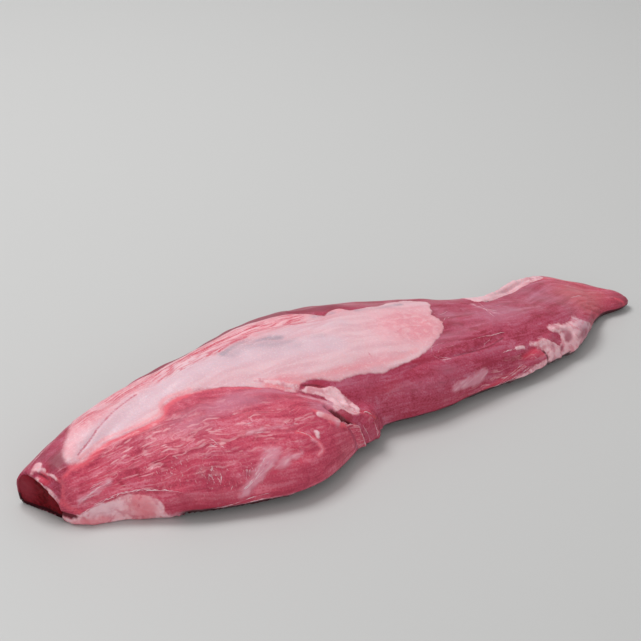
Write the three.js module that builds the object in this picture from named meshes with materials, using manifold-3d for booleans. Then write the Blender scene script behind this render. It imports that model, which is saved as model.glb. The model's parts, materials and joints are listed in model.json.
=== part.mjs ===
// A whole raw beef tenderloin, lying on a flat surface with its silverskin side up.
// Millimetres, +Z up. X runs from the cut head at -X to the thin tail at +X, and -Y is the side
// that carries the side muscle. The origin is the middle of the footprint, on the surface.
//
// The piece is one solid, joined from the bodies that a butcher would name: the long main muscle,
// the side muscle along the front of the head, a fold of meat behind it, a strip of fibres low on
// the front of the rear half, a pad of fat on the near edge of the tail and a roll of fat on its
// far edge. Each is a long rounded body: a sphere whose rings are laid along the piece and
// stretched to the edges and heights given here.
import * as THREE from 'three';
import { mergeVertices } from 'three/addons/utils/BufferGeometryUtils.js';
import { ImprovedNoise } from 'three/addons/math/ImprovedNoise.js';
import Module from 'manifold-3d';

// Every list of pairs is [distance along the piece, value]. Distances along the piece start at the
// front corner of the cut face, and distances across it at the same corner, positive away from
// the side muscle. MIDDLE is the middle of the footprint in those distances.
const MIDDLE = { along: 264.4, across: 22.7 };

// The knife's cut across the head, and the two slants where the top and the side muscle round off
// to it. Each is a plane through a point, and keeps the side that its direction points to.
const KNIFE_PLANES = [
  { through: [0, 0, 0], keeps: [0.93, 0.36, 0.06] },
  { through: [-13, 32, 25.5], keeps: [0.74, 0.28, -0.6] },
  { through: [-6, 14, 15], keeps: [0.8, 0.55, -0.24] },
];

const SURFACE = { through: [0, 0, 0], keeps: [0, 0, 1] };

const MAIN_MUSCLE = {
  front: [[-60, 6], [0, 0], [60, -6], [130, -18], [200, -26], [256, -33], [292, -38], [364, -36],
    [413, -32], [459, -22], [490, -8], [512, 4], [530, 3], [548, 2]],
  back: [[-60, 32], [-20, 51], [0, 55], [50, 73], [75, 80], [100, 85], [150, 92], [205, 107],
    [260, 114], [310, 109], [360, 91], [405, 68], [440, 62], [480, 77], [508, 73], [528, 49], [548, 16]],
  height: [[-60, 9], [-20, 27], [2, 39.5], [50, 48.5], [100, 54], [160, 59], [220, 61.5], [280, 56],
    [340, 47], [400, 39], [450, 31], [495, 23], [520, 16], [548, 12]],
  crest: [[-60, 0.1], [60, 0.32], [150, 0.34], [220, 0.22], [320, 0.05], [420, 0], [548, 0]],
  lift: [[-60, 0], [500, 0], [548, 4]],
  endRadius: 12,
  rings: 92,
  sides: 52,
};

const SIDE_MUSCLE = {
  front: [[-40, 6], [0, -1], [30, -15], [66, -38], [114, -60], [151, -70], [180, -64], [204, -53],
    [236, -40]],
  back: [[-40, 14], [0, 34], [40, 54], [90, 68], [130, 67], [168, 45], [200, 6], [236, -22]],
  height: [[-40, 6], [0, 25], [30, 39], [70, 49], [120, 53], [170, 49], [206, 39], [236, 31]],
  crest: [[-40, 0.2], [60, 0.35], [130, 0.3], [190, 0.1], [236, 0]],
  endRadius: 26,
  rings: 48,
  sides: 44,
};

const FOLD_BEHIND_SIDE = {
  front: [[196, -46], [232, -45], [255, -32]],
  back: [[196, -6], [232, -8], [255, -12]],
  height: [[196, 35], [232, 31], [255, 24]],
  crest: [[196, 0], [255, 0]],
  endRadius: 24,
  rings: 18,
  sides: 20,
};

const LOWER_STRIP = {
  front: [[325, -38], [370, -38], [420, -34], [456, -25]],
  back: [[325, -24], [370, -18], [420, -12], [456, -8]],
  height: [[325, 11], [370, 18], [420, 19], [456, 16]],
  crest: [[325, -0.3], [456, -0.3]],
  endRadius: 14,
  rings: 24,
  sides: 14,
};

const FAT_PAD = {
  front: [[432, -31], [455, -27], [480, -15], [500, -3]],
  back: [[432, -14], [455, -4], [480, 4], [500, 8]],
  height: [[432, 14], [455, 22], [480, 22], [500, 15]],
  crest: [[432, -0.2], [500, -0.2]],
  endRadius: 12,
  rings: 16,
  sides: 16,
};

const FAT_ROLL = {
  front: [[394, 46], [435, 50], [472, 60], [506, 56]],
  back: [[394, 61], [435, 66], [472, 77], [506, 72]],
  height: [[394, 24], [435, 23], [472, 21], [506, 15]],
  crest: [[394, 0], [506, 0]],
  endRadius: 12,
  rings: 22,
  sides: 14,
};

// Furrows pressed into the top, each along a smooth path of [along, across].
const FURROWS = [
  { path: [[6, 14], [40, 26], [80, 44], [118, 62]], depth: 2.2, halfWidth: 6 },
  { path: [[60, 62], [120, 78], [190, 90], [260, 92], [330, 78]], depth: 2.4, halfWidth: 7 },
  { path: [[290, -6], [340, 2], [400, 12], [450, 22]], depth: 1.6, halfWidth: 8 },
  { path: [[280, 40], [330, 34], [390, 30], [470, 34]], depth: 1.4, halfWidth: 9 },
  { path: [[40, -10], [100, -32], [160, -42], [215, -34]], depth: 1.4, halfWidth: 7 },
];
const FURROW_STEPS = 40;

// Unevenness of the flesh: soft lumps, and bundles of fibre stretched along the piece.
const LUMPS = { size: [46, 46, 46], depth: 1.8 };
const BUNDLES = { size: [120, 19, 24], depth: 1.3 };

const RIM_SHARE = 0.3; // the widest level of a body, as a share of its height
const SINK = 5; // how far a body sags below the surface before the flat foot is cut
const LIFT_SHOWS = 2; // a lifted foot rises this much, to clear its own sag as well
const SIDE_POWER = 2.3; // superellipse powers: 2 is round, more is boxier
const TOP_POWER = 2.1;
const FOOT_POWER = 4;
const EVEN_RINGS = 0.65; // share of the ring spacing that is even, the rest crowds to the ends
const MERGE_WITHIN = 1e-3;

const smoothThrough = (pairs) => {
  const along = pairs.map(([x]) => x);
  const cubic = new THREE.CubicInterpolant(along, pairs.map(([, value]) => value), 1);
  return (x) => cubic.evaluate(THREE.MathUtils.clamp(x, along[0], along.at(-1)))[0];
};

const power = (value, exponent) => Math.sign(value) * Math.abs(value) ** (2 / exponent);

// A long rounded body between its front and back edges, up to its height.
function longBody({ front, back, height, crest, lift = [[0, 0], [1, 0]], endRadius, rings, sides }) {
  const [frontAt, backAt, heightAt, crestAt, liftAt] = [front, back, height, crest, lift]
    .map(smoothThrough);
  const start = front[0][0];
  const end = front.at(-1)[0];

  const sphere = new THREE.SphereGeometry(1, sides, rings);
  const position = sphere.getAttribute('position');
  const point = new THREE.Vector3();
  for (let i = 0; i < position.count; i += 1) {
    point.fromBufferAttribute(position, i);
    const polar = Math.acos(THREE.MathUtils.clamp(point.y, -1, 1));
    const turn = Math.atan2(point.z, point.x);
    const share = EVEN_RINGS * (polar / Math.PI) + (1 - EVEN_RINGS) * ((1 - point.y) / 2);
    const along = THREE.MathUtils.lerp(start, end, share);
    const inFromEnd = Math.min(along - start, end - along, endRadius) / endRadius;
    const rounding = Math.sqrt(Math.max(0, 1 - (1 - inFromEnd) ** 2));

    const half = (backAt(along) - frontAt(along)) / 2;
    const rim = RIM_SHARE * heightAt(along);
    const overTop = Math.sin(turn) > 0;
    const rise = rounding * Math.abs(power(Math.sin(turn), overTop ? TOP_POWER : FOOT_POWER));
    const reach = rounding * power(Math.cos(turn), SIDE_POWER) + (overTop ? crestAt(along) * rise : 0);
    const up = overTop ? heightAt(along) - rim : LIFT_SHOWS * liftAt(along) - rim - SINK;
    position.setXYZ(i, along, frontAt(along) + half + half * reach, rim + up * rise);
  }
  sphere.deleteAttribute('normal');
  sphere.deleteAttribute('uv');
  return mergeVertices(sphere, MERGE_WITHIN);
}

const furrows = FURROWS.map(({ path, depth, halfWidth }) => ({
  points: new THREE.SplineCurve(path.map(([x, y]) => new THREE.Vector2(x, y))).getPoints(FURROW_STEPS),
  depth,
  halfWidth,
}));

const furrowDepth = (along, across) => furrows.reduce((sum, { points, depth, halfWidth }) => {
  const gap = Math.min(...points.map((p) => Math.hypot(p.x - along, p.y - across)));
  return sum + depth * Math.exp(-((gap / halfWidth) ** 2));
}, 0);

const noise = new ImprovedNoise();
const uneven = ({ size, depth }, p) => depth * noise.noise(p.x / size[0], p.y / size[1], p.z / size[2]);

// Pushes the surface in along the furrows and in and out for the unevenness.
function withRelief(geometry) {
  geometry.computeVertexNormals();
  const position = geometry.getAttribute('position');
  const normals = geometry.getAttribute('normal');
  const point = new THREE.Vector3();
  const normal = new THREE.Vector3();
  for (let i = 0; i < position.count; i += 1) {
    point.fromBufferAttribute(position, i);
    normal.fromBufferAttribute(normals, i);
    const furrow = furrowDepth(point.x, point.y) * Math.max(0, normal.z);
    point.addScaledVector(normal, uneven(LUMPS, point) + uneven(BUNDLES, point) - furrow);
    position.setXYZ(i, ...point);
  }
  return geometry;
}

const wasm = await Module();
wasm.setup();

function solidOf(geometry) {
  return new wasm.Manifold(new wasm.Mesh({
    numProp: 3,
    vertProperties: new Float32Array(geometry.getAttribute('position').array),
    triVerts: new Uint32Array(geometry.index.array),
  }));
}

function geometryOf(solid) {
  const mesh = solid.getMesh();
  return new THREE.BufferGeometry()
    .setAttribute('position', new THREE.BufferAttribute(mesh.vertProperties, 3))
    .setIndex(new THREE.BufferAttribute(mesh.triVerts, 1));
}

// Keeps the part of a solid that lies beyond a plane.
function trimmed(solid, { through, keeps }) {
  const normal = new THREE.Vector3(...keeps).normalize();
  return solid.trimByPlane(normal.toArray(), normal.dot(new THREE.Vector3(...through)));
}

const joined = [MAIN_MUSCLE, SIDE_MUSCLE, FOLD_BEHIND_SIDE, LOWER_STRIP, FAT_PAD, FAT_ROLL]
  .map((body) => solidOf(withRelief(longBody(body))))
  .reduce((sum, body) => sum.add(body));
const whole = [...KNIFE_PLANES, SURFACE].reduce(trimmed, joined);

const tenderloin = new THREE.Mesh(
  geometryOf(whole).translate(-MIDDLE.along, -MIDDLE.across, 0),
  new THREE.MeshStandardMaterial({ color: 0xa34a5c, roughness: 0.4, metalness: 0 }),
);
tenderloin.name = 'tenderloin';

const piece = new THREE.Group();
piece.add(tenderloin);

export default piece;
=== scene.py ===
# %% [markdown]
# # A whole raw beef tenderloin
# The piece is one long, soft muscle with a smaller muscle on its side, part covered by silverskin
# and fat. The solid from the workshop has the true form and size. Here it gets a skin of fine
# relief and the look of raw meat: fibres, marbling, membrane and a moist gloss.

import json
import math

import bpy
import numpy as np
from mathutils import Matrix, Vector, noise

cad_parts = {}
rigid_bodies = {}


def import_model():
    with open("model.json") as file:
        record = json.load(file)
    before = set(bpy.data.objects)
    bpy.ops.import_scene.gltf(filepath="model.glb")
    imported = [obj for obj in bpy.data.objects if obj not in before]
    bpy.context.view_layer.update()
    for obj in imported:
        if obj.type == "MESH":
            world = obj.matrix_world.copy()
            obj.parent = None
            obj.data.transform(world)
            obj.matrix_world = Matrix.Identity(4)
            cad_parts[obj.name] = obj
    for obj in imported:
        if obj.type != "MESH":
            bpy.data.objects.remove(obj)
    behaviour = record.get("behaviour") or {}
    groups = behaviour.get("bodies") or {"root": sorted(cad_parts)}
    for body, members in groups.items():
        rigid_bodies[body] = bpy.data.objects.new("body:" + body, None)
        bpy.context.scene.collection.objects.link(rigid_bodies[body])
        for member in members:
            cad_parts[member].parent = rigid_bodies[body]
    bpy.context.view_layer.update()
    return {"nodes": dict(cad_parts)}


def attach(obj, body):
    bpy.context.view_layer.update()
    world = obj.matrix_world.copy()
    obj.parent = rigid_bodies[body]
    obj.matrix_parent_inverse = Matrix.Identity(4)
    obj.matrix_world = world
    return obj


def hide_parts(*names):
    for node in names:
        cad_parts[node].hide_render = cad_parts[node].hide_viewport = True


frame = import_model()
bpy.ops.object.select_all(action="DESELECT")
MM = 0.001

# %% [markdown]
# ## The camera
# The photograph was taken from above the head end, with a long lens. A camera is a place, a
# direction and a lens. The direction is a turn about the vertical and a dip below the horizon, so
# these two angles are named, and the rest follows from them.

# %% Make the camera
CAMERA_PLACE = (-0.6906, -0.9180, 0.7066)
CAMERA_TURN = -35.49
CAMERA_DIP = 29.0
LENS = 95.5

bpy.ops.object.camera_add(
    location=CAMERA_PLACE,
    rotation=(math.radians(90 - CAMERA_DIP), 0, math.radians(CAMERA_TURN)),
)
camera = bpy.context.object
camera.data.lens = LENS
camera.data.sensor_width = 36
camera.data.clip_start, camera.data.clip_end = 0.05, 50
bpy.context.scene.camera = camera
print("camera:", [round(c, 3) for c in camera.location], "lens", LENS)

# %% [markdown]
# ## Surface and light
# The piece lies on a plain pale counter in soft studio light. About half of the light is a pale
# even sky, which leaves the sides nearly as bright as the top. One wide lamp high behind it draws
# the wet gloss and the shade under the front edge, and a weaker one in front opens that shade. The
# plain colour transform keeps the pale grey as it is in the photograph.


# %% A helper for colours and one for nodes
def linear(hex_colour):
    """The colour of an sRGB hex code, as the linear numbers that Blender works in."""
    channels = [int(hex_colour[i : i + 2], 16) / 255 for i in (1, 3, 5)]
    return tuple(c / 12.92 if c <= 0.04045 else ((c + 0.055) / 1.055) ** 2.4 for c in channels) + (1,)


def add(material, kind, settings=None, **inputs):
    """Adds a node with its settings. An input is a value, or another node's output to link."""
    tree = material.node_tree
    made = tree.nodes.new(kind)
    for name, value in (settings or {}).items():
        setattr(made, name, value)
    for name, value in inputs.items():
        socket = made.inputs[int(name[1:]) if name[1:].isdigit() else name.replace("_", " ")]
        if isinstance(value, bpy.types.NodeSocket):
            tree.links.new(value, socket)
        else:
            socket.default_value = value
    return made


def new_material(name):
    material = bpy.data.materials.new(name)
    material.use_nodes = True
    material.node_tree.nodes.clear()
    return material


# %% Lay the counter
COUNTER = "#c9c9c8"

bpy.ops.mesh.primitive_plane_add(size=12)
counter = bpy.context.object
counter.name = "counter"
counter_paint = new_material("satin_counter")
coat = add(
    counter_paint, "ShaderNodeBsdfPrincipled", Base_Color=linear(COUNTER), Roughness=0.4, IOR=1.45
)
add(counter_paint, "ShaderNodeOutputMaterial", Surface=coat.outputs["BSDF"])
counter.data.materials.append(counter_paint)

# %% Hang the lamps
LAMPS = {
    # name: (place, width in metres, watts)
    "high_behind": ((-0.25, 1.0, 1.9), 1.0, 28),
    "low_front": ((-0.9, -2.1, 0.6), 1.6, 13),
}
SKY = 0.45

for name, (place, width, watts) in LAMPS.items():
    bpy.ops.object.light_add(type="AREA", location=place)
    lamp = bpy.context.object
    lamp.name = name
    lamp.data.energy, lamp.data.size = watts, width
    lamp.rotation_euler = (-Vector(place)).to_track_quat("-Z", "Y").to_euler()

world = bpy.data.worlds.new("studio")
world.use_nodes = True
world.node_tree.nodes["Background"].inputs["Color"].default_value = (1, 1, 1, 1)
world.node_tree.nodes["Background"].inputs["Strength"].default_value = SKY
bpy.context.scene.world = world
bpy.context.scene.view_settings.view_transform = "Standard"
print("lamps:", {name: watts for name, (_, _, watts) in LAMPS.items()}, "sky", SKY)

# %% [markdown]
# ## The flesh
# The solid is made of flat facets, a few millimetres wide. Flesh has none. A copy of the solid is
# merged first, because its triangles come loose. A voxel remesh then turns it into one skin with an
# even net, and a smoothing takes away the facets. A subdivided copy would keep their pattern, so it
# isn't used.

# %% Copy the solid
solid = frame["nodes"]["tenderloin"]
flesh = bpy.data.objects.new("flesh", solid.data.copy())
bpy.context.scene.collection.objects.link(flesh)
bpy.context.view_layer.objects.active = flesh
flesh.select_set(True)

bpy.ops.object.mode_set(mode="EDIT")
bpy.ops.mesh.select_all(action="SELECT")
bpy.ops.mesh.remove_doubles(threshold=1e-6)
bpy.ops.object.mode_set(mode="OBJECT")
print("copy:", len(flesh.data.vertices), "points", len(flesh.data.polygons), "faces")


# %% Give it a net without facets
def even_net(voxel, smoothings):
    """Remeshes the flesh to an even net and smooths it."""
    net = flesh.modifiers.new("net", "REMESH")
    net.mode, net.voxel_size = "VOXEL", voxel * MM
    even = flesh.modifiers.new("even", "SMOOTH")
    even.factor, even.iterations = 0.5, smoothings
    for modifier in ("net", "even"):
        bpy.ops.object.modifier_apply(modifier=modifier)
    print("flesh:", len(flesh.data.vertices), "points", len(flesh.data.polygons), "faces")


even_net(voxel=1.7, smoothings=6)

# %% [markdown]
# Small things stand up from the big form: lumps of fat, a wedge of it in the seam, beads along the
# rims, a ragged fringe at the foot. A sculptor presses on pellets of clay, alone or in rows, and
# smooths them in. The pellets here are stretched spheres, sunk part way into the flesh.


# %% Press on the pellets
def smooth_path(points, closed=False, steps=6):
    """A Catmull-Rom curve through the points."""
    p = np.array(points, float)
    if closed:
        before, a, b, after = (np.roll(p, shift, axis=0) for shift in (1, 0, -1, -2))
    else:
        padded = np.vstack([2 * p[0] - p[1], p, 2 * p[-1] - p[-2]])
        before, a, b, after = padded[:-3], padded[1:-2], padded[2:-1], padded[3:]
    t = np.linspace(0, 1, steps, endpoint=False)[:, None, None]
    curve = 0.5 * (
        2 * a
        + (b - before) * t
        + (2 * before - 5 * a + 4 * b - after) * t**2
        + (3 * a - before - 3 * b + after) * t**3
    )
    curve = curve.transpose(1, 0, 2).reshape(-1, p.shape[1])
    return curve if closed else np.vstack([curve, p[-1:]])


def pellet(middle, half_sizes, turn=0, tilt=0):
    bpy.ops.object.select_all(action="DESELECT")
    bpy.ops.mesh.primitive_uv_sphere_add(segments=16, ring_count=10, radius=MM)
    made = bpy.context.object
    made.scale = half_sizes
    made.rotation_euler = (math.radians(tilt), 0, math.radians(turn))
    made.location = Vector(middle) * MM
    bpy.ops.object.transform_apply(location=True, rotation=True, scale=True)
    return made


PELLETS = {
    # name: (middle, half sizes, turn about z, tilt about x), in millimetres and degrees
    "fat_lump": ((-221, -38, 11), (13, 7, 9), -38, 0),
    "fat_band": ((-246, -26, 8), (14, 5, 6), -20, 0),
    "white_spot": ((-89, -69.8, 35.3), (2.4, 1.6, 2.2), 0, 0),
    "blob": ((125, -48, 25.8), (3.6, 1.8, 1.8), 0, 0),
    "corner_fat": ((-273, 13.5, 30.8), (4, 4.5, 1.8), 0, 0),
    "pad_left": ((156, -44, 20), (10, 8, 7), 0, 0),
    "pad_right": ((199, -38, 14), (12, 8, 9), 10, 0),
    "pad_middle": ((177, -43, 13), (12, 9, 10), 5, 0),
    "bundle_end": ((138, -51, 17), (9, 7, 7), 8, 0),
    "low_tag": ((-126, -86, 6), (6, 4, 2.6), -10, 0),
}
ROWS = {
    # name: [(x, y, z, radius), ...], in millimetres
    "wedge": [
        (-63, -26, 44.5, 0.7), (-57, -30, 42, 1.1), (-50, -33, 39.6, 1.8), (-46, -38, 36.8, 1.5),
        (-45, -45, 33.8, 1.5), (-46, -51, 31.6, 1.9), (-44, -55, 30.4, 1.8),
    ],
    "wedge_foot": [
        (-58, -33, 40, 0.7), (-54, -38, 37.4, 1.5), (-53, -44, 35.6, 1.6), (-54, -50, 34.4, 1.8),
        (-51, -55, 32.4, 1.6),
    ],
    "lobe": [(-77, -57, 41, 1.0), (-72, -59.5, 37.8, 2.0), (-67, -62.5, 34.8, 2.0)],
    "rim": [
        (-277, 16, 29, 1.2), (-276, 8, 27.5, 0.8), (-275, 3, 25.5, 1.2), (-273, -2, 23, 0.9),
        (-271, -6, 20, 1.4), (-269, -10, 16, 1.0),
    ],
    "fringe": [
        (-268, -10, 1.5, 1.5), (-264, -18, 1.8, 2.2), (-257, -26, 2, 1.8), (-248, -30, 1.8, 2.4),
        (-238, -34, 1.6, 1.6), (-226, -40, 1.6, 1.8), (-213, -48, 1.4, 1.2),
    ],
    "low_hem": [
        (-200, -60, 2, 1.0), (-180, -70, 2.5, 1.6), (-160, -78, 3, 1.5), (-143, -84, 3.5, 1.8),
        (-130, -87, 4, 1.4),
    ],
    "low_strip": [
        (144, -57, 9.5, 2.4), (134, -58, 9.5, 2.8), (124, -59, 9, 2.8), (112, -59.5, 6.5, 2.4),
        (98, -59.5, 4, 1.8), (84, -59.5, 2, 0.9),
    ],
    "pad_top": [
        (162, -42, 25.5, 1.4), (170, -41.5, 25.6, 2.0), (180, -41.5, 24, 1.8), (190, -43, 22, 1.6),
        (202, -42, 19.4, 1.8),
    ],
    "pad_left_ridge": [
        (140, -49, 26, 1.2), (150, -48, 24.5, 1.8), (157, -49, 22, 2.2), (163, -51, 18.6, 2.2),
        (165, -53, 13, 2.6), (164, -55, 7, 2.4),
    ],
    "pad_mid_ridge": [
        (183, -43, 22.5, 1.6), (186, -46, 18.5, 2.0), (188, -49, 14, 2.2), (184, -52, 9, 2.2),
        (178, -54, 4, 2.0),
    ],
    "roll": [
        (140, 21, 35.5, 1.5), (155, 24, 32.5, 2.0), (170, 31, 28, 2.2), (184, 37, 25, 2.6),
        (198, 41, 23.5, 3.0), (212, 43, 22, 2.2), (224, 43, 20, 1.4),
    ],
}

pressed = [pellet(*shape) for shape in PELLETS.values()]
for row in ROWS.values():
    for x, y, z, radius in smooth_path(row, steps=5):
        uneven = radius * (1 + 0.3 * noise.noise((x / 4, y / 4, z / 4)))
        pressed.append(pellet((x, y, z), (uneven, uneven, uneven)))
bpy.ops.object.select_all(action="DESELECT")
for piece in [*pressed, flesh]:
    piece.select_set(True)
bpy.context.view_layer.objects.active = flesh
bpy.ops.object.join()
print("pressed on:", len(PELLETS), "pellets and", len(ROWS), "rows")

# %% Smooth them in
even_net(voxel=1.3, smoothings=4)
bpy.ops.object.shade_smooth()

# %% [markdown]
# Soft meat bulges over the line where it rests, so a dark gap shows under its edge. The lowest few
# millimetres are drawn in towards the middle of the piece, most at the counter itself.

# %% Draw in the foot
FOOT_HEIGHT, DRAWN_IN = 9, 0.13  # millimetres, and share of the distance to the middle line
FOOT_MIDDLE = [(-290, 4), (-264, 4), (-150, -8), (-40, 14), (60, 4), (180, -4), (260, 0), (290, -12)]
CURVE = 1.1  # power of the curve from the counter up, where 1 is straight
FAT_FOOT_ENDS = -205  # in front, the fat at the head's foot lies flat on the counter
EASED_OVER = 12  # millimetres past the fat

for point in flesh.data.vertices:
    x, y, z = point.co / MM
    if z < FOOT_HEIGHT:
        middle = np.interp(x, *zip(*FOOT_MIDDLE))
        loose = 1 if y > middle else min(1, max(0, (x - FAT_FOOT_ENDS) / EASED_OVER))
        share = DRAWN_IN * loose * (1 - max(z, 0) / FOOT_HEIGHT) ** CURVE
        point.co.y = (middle + (y - middle) * (1 - share)) * MM
flesh.data.update()

# %% [markdown]
# The underside is flat and needs few faces. Its fine net is thinned by the decimate operator,
# which works on the selected faces.

# %% Thin the net of the flat underside
LEVEL, LOW = -0.999, 0.3  # facing straight down, and millimetres above the counter
KEPT_FACES = 0.2

bpy.ops.object.mode_set(mode="EDIT")
bpy.ops.mesh.select_all(action="DESELECT")
bpy.ops.object.mode_set(mode="OBJECT")
for face in flesh.data.polygons:
    face.select = face.normal.z < LEVEL and face.center.z < LOW * MM
bpy.ops.object.mode_set(mode="EDIT")
bpy.ops.mesh.select_less()
bpy.ops.mesh.decimate(ratio=KEPT_FACES)
bpy.ops.object.mode_set(mode="OBJECT")
print("flesh:", len(flesh.data.vertices), "points", len(flesh.data.polygons), "faces")

# %% [markdown]
# ## Reading and marking the surface
# Everything after this is drawn on the surface point by point, in millimetres. A patch, such as
# the silverskin, is a closed outline seen from above or from the front. A streak, crease or lip is
# a path in space. Both are smooth curves through a few measured points, and each point of the
# surface gets its distance to them.


# %% Points, normals and distances
def read(name, source):
    numbers = np.empty(len(source) * 3)
    source.foreach_get(name, numbers)
    return numbers.reshape(-1, 3)


def to_segment(points, a, b):
    """Distance of each point to the segment from a to b."""
    along = b - a
    share = np.clip((points - a) @ along / max(along @ along, 1e-9), 0, 1)
    return np.linalg.norm(points - a - share[:, None] * along, axis=1)


def inside(points, outline):
    """How far each point is inside a closed flat outline, negative outside it."""
    corners = smooth_path(outline, closed=True)
    gap = np.full(len(points), np.inf)
    within = np.zeros(len(points), bool)
    for a, b in zip(corners, np.roll(corners, -1, axis=0)):
        gap = np.minimum(gap, to_segment(points, a, b))
        if a[1] != b[1]:
            meets = a[0] + (b[0] - a[0]) * (points[:, 1] - a[1]) / (b[1] - a[1])
            within ^= ((a[1] > points[:, 1]) != (b[1] > points[:, 1])) & (points[:, 0] < meets)
    return np.where(within, gap, -gap)


FAR = 40  # distances beyond this many millimetres aren't needed
OUTSIDE = -20  # millimetres inside a patch, for a point that the patch can't reach


def near(points, path):
    """Distance of each point to a path in space, as long as it is within FAR."""
    stations = smooth_path(path, steps=4)
    low, high = stations.min(axis=0) - FAR, stations.max(axis=0) + FAR
    close = np.all((points > low) & (points < high), axis=1)
    gap = np.full(len(points), float(FAR))
    segments = [to_segment(points[close], a, b) for a, b in zip(stations, stations[1:])]
    gap[close] = np.minimum(np.min(segments, axis=0), FAR)
    return gap


def hump(path, half):
    """A smooth ridge along a path, 1 on the path and falling off over the half width."""
    return np.exp(-((near(places, path) / half) ** 2))


def along_paths(paths):
    """How far each point is inside the widest of some paths, each given with its half width."""
    return np.max([half - near(places, path) for path, half in paths], axis=0)


def rough(places, size, seed=0):
    """Smooth noise from -1 to 1 with lumps of this size, which may differ by direction."""
    return np.array([noise.noise(p) for p in (places / size + 17.3 * seed).tolist()])


def drift(places, size):
    """A slow noise in each of the three directions."""
    return np.column_stack([rough(places, size, seed=seed) for seed in (11, 12, 13)])


def step(values, low, high):
    """Rises smoothly from 0 at low to 1 at high."""
    t = np.clip((values - low) / (high - low), 0, 1)
    return t * t * (3 - 2 * t)


def mark(name, values, piece=flesh):
    """Keeps a value for each point of a piece, for the materials to read."""
    kind, key = ("FLOAT", "value") if values.ndim == 1 else ("FLOAT_VECTOR", "vector")
    piece.data.attributes.new(name, kind, "POINT").data.foreach_set(key, values.ravel())


places = read("co", flesh.data.vertices) / MM
facing = read("vector", flesh.data.vertex_normals)
above, front = places[:, :2], places[:, [0, 2]]
print("surface:", places.min(axis=0).round(1), "to", places.max(axis=0).round(1), "mm")

# %% [markdown]
# ## How the fibres run
# Muscle fibres run along the muscle and draw together at its ends. A pattern that follows them
# needs coordinates that do the same: the distance along, and the angle round the muscle's own
# middle line. The angle is kept as a place on a circle, so that it has no seam. The two muscles
# have each their own middle line, and the seam between them is drawn from above. A slow noise bends
# the coordinates, because no fibre in meat is quite straight.

# %% Lay the fibre coordinates
# Along the piece: middle line, half width and height of each muscle.
MAIN_LINE = [
    (-300, 6, 22, 30), (-264, 6, 27, 41), (-164, 14, 47, 54), (-64, 18, 66, 60), (-4, 17, 75, 58),
    (96, 3, 62, 44), (176, -5, 44, 33), (226, 11, 42, 24), (276, -9, 14, 13), (300, -12, 10, 10),
]
SIDE_LINE = [
    (-300, -6, 14, 18), (-264, -6, 20, 28), (-198, -12, 49, 48), (-150, -18, 62, 53),
    (-113, -28, 62, 51), (-66, -38, 45, 43), (-24, -50, 24, 32), (0, -58, 20, 26),
]
SIDE_MUSCLE = [
    (-290, -14), (-268, -11), (-259, -6), (-250, -4), (-232, 0), (-221, 1), (-211, -3), (-191, -4),
    (-180, -3), (-173, 6), (-164, 10), (-144, 8), (-120, -1), (-106, -8), (-85, -19), (-77, -24),
    (-68, -31), (-62, -42), (-61, -53), (-61, -66), (-54, -76), (-42, -84), (-42, -110), (-290, -110),
]
AROUND = 48  # radius of the circle that the angle is kept on, about a muscle's own
BEND = 3.0  # how far the slow noise bends the fibres


def fibre_places(line, places):
    """Coordinates along and round a muscle, bent by the slow noise."""
    along, middle, half, height = np.array(line, float).T
    x, y, z = places.T
    middle, half, height = (np.interp(x, along, value) for value in (middle, half, height))
    angle = np.arctan2((z - 0.3 * height) / (0.7 * height), (y - middle) / half)
    straight = np.column_stack([x, AROUND * np.cos(angle), AROUND * np.sin(angle)])
    return straight + BEND * drift(places, 28)


side_in = inside(above, SIDE_MUSCLE)
side = step(side_in, -1.0, 1.0)
paleness = np.maximum(side, 0.7 * step(places[:, 0], 195, 240))  # the thin tail is as pale
seam = step(side_in, -2.0, 2.0)[:, None]
fibre = (1 - seam) * fibre_places(MAIN_LINE, places) + seam * fibre_places(SIDE_LINE, places)
mark("fibre", fibre)
mark("side", paleness)
print("side muscle:", round(100 * float((side > 0.5).mean())), "% of the points")

# %% [markdown]
# ## Silverskin
# Silverskin is the tough pearly sheet on top of the main muscle. On the head it is folded over
# once, along a crease, and its edge was trimmed by hand. It is drawn as one outline seen from
# above. A knife leaves a smooth edge with a few slow waves, so slow noise goes into it. At the rear
# the sheet was torn off, so a finer and stronger noise is added there.

# %% Draw the silverskin
SILVERSKIN = [
    # the rim at the head
    (-255, -2), (-255, 5), (-251, 11), (-246, 18), (-239, 27), (-232, 37),
    # the far edge
    (-222, 47), (-195, 56), (-175, 55), (-156, 53), (-146, 54), (-131, 57), (-115, 61), (-103, 62),
    (-90, 63), (-77, 65), (-63, 67), (-50, 64), (-36, 61), (-24, 57), (-15, 51), (-9, 43), (-4, 39),
    (3, 43), (13, 44), (20, 38), (36, 38), (50, 37), (61, 42), (72, 42), (82, 39),
    # the edge at the rear
    (92, 31), (90, 24), (83, 14), (80, 5), (78, -7), (72, -16), (66, -20), (53, -27), (43, -32),
    (31, -35), (18, -37), (4, -37), (-4, -37), (-14, -34), (-26, -31), (-39, -30), (-50, -25),
    (-60, -21), (-70, -20),
    # the seam to the side muscle
    (-77, -24), (-94, -14), (-106, -8), (-120, -1), (-135, 6), (-153, 10), (-164, 10), (-173, 6),
    (-180, -3), (-191, -4), (-211, -3), (-221, 1), (-232, 0), (-243, -3),
]
FOLD = [
    (-246, 1, 40), (-240, 4, 42), (-232, 8, 44), (-224, 13, 46), (-206, 23, 49), (-190, 29, 50),
    (-180, 32, 51),
]
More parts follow.
